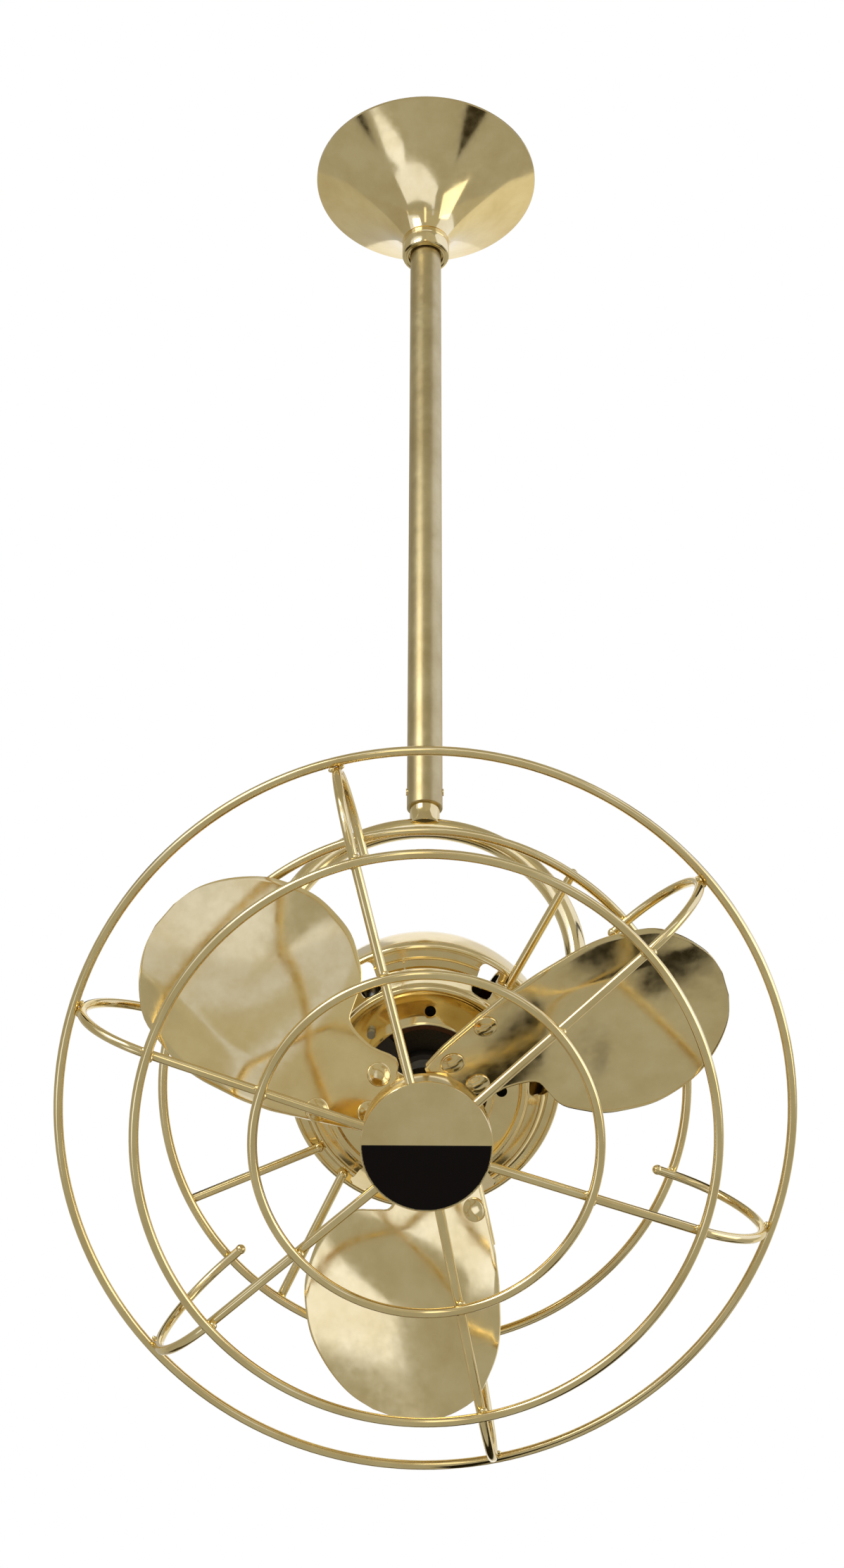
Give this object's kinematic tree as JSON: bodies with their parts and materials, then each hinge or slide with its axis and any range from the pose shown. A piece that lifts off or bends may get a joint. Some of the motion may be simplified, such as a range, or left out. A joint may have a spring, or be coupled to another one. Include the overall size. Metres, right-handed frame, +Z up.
{
  "type": "directional ceiling fan",
  "caption": "Caged three-blade fan head that tilts in a fork; the fork swivels on a rod hung from a flared ceiling canopy.",
  "frame": {"origin": "middle of the ceiling bracket's top face, in the plane of the ceiling", "axes": "+Z up along the rod into the ceiling, -Y the way the fan head faces, +X to the right seen from the front"},
  "size_m": [0.3412, 0.2628, 0.8161],
  "materials": {
    "polished_brass": "polished and lacquered",
    "black_enamel": "gloss",
    "zinc_plated_steel": "zinc plated",
    "motor_steel": "stamped laminations",
    "black_casting": "satin black",
    "varnished_copper": "varnished",
    "rubber": "matt",
    "moulded_plastic": "moulded",
    "lead_insulation": "satin",
    "friction_fibre": "pressed fibre"
  },
  "bodies": {
    "ceiling_mount": {"ceiling_bracket": "zinc_plated_steel", "hanger_bolt": "zinc_plated_steel", "hanger_nut": "zinc_plated_steel", "hanger_bushes": "rubber", "terminal_block": "moulded_plastic", "supply_leads": "lead_insulation", "canopy": "polished_brass", "canopy_collar": "polished_brass", "collar_screw": "polished_brass", "downrod": "polished_brass", "stem_screws": "polished_brass"},
    "fork": {"fork": "polished_brass"},
    "head": {"spring_washers": "zinc_plated_steel", "tilt_bolts": "polished_brass", "friction_washers": "friction_fibre", "rear_housing": "polished_brass", "front_housing": "polished_brass", "through_bolts": "zinc_plated_steel", "through_bolt_nuts": "polished_brass", "motor_spacers": "zinc_plated_steel", "bearing_bridge": "black_casting", "stator_core": "motor_steel", "stator_windings": "varnished_copper", "front_bearing": "zinc_plated_steel", "rear_bearing": "zinc_plated_steel", "run_capacitor": "moulded_plastic", "back_ring": "polished_brass", "inner_front_ring": "polished_brass", "middle_front_ring": "polished_brass", "outer_ring": "polished_brass", "hoop_1": "polished_brass", "hoop_2": "polished_brass", "hoop_3": "polished_brass", "hoop_4": "polished_brass", "hoop_5": "polished_brass", "hoop_6": "polished_brass", "strut_1": "polished_brass", "strut_2": "polished_brass", "strut_3": "polished_brass", "strut_4": "polished_brass", "medallion_cup": "polished_brass", "medallion_face": "polished_brass", "medallion_enamel": "black_enamel"},
    "rotor": {"motor_shaft": "zinc_plated_steel", "rotor_core": "motor_steel", "blade_hub": "polished_brass", "hub_nut": "polished_brass", "blade_1": "polished_brass", "blade_2": "polished_brass", "blade_3": "polished_brass", "blade_rivets": "polished_brass"}
  },
  "joints": [
    {"name": "fork_swivel", "type": "hinge", "parent": "ceiling_mount", "child": "fork", "pos_m": [0, 0, -0.45], "axis": [0, 0, 1], "range_deg": [-175, 175]},
    {"name": "head_tilt", "type": "hinge", "parent": "fork", "child": "head", "pos_m": [0, 0, -0.619], "axis": [1, 0, 0], "range_deg": [-38.9, 141.1]},
    {"name": "rotor_spin", "type": "hinge", "parent": "head", "child": "rotor", "pos_m": [0, 0, -0.619], "axis": [0, -0.7782, -0.628], "continuous": true}
  ]
}
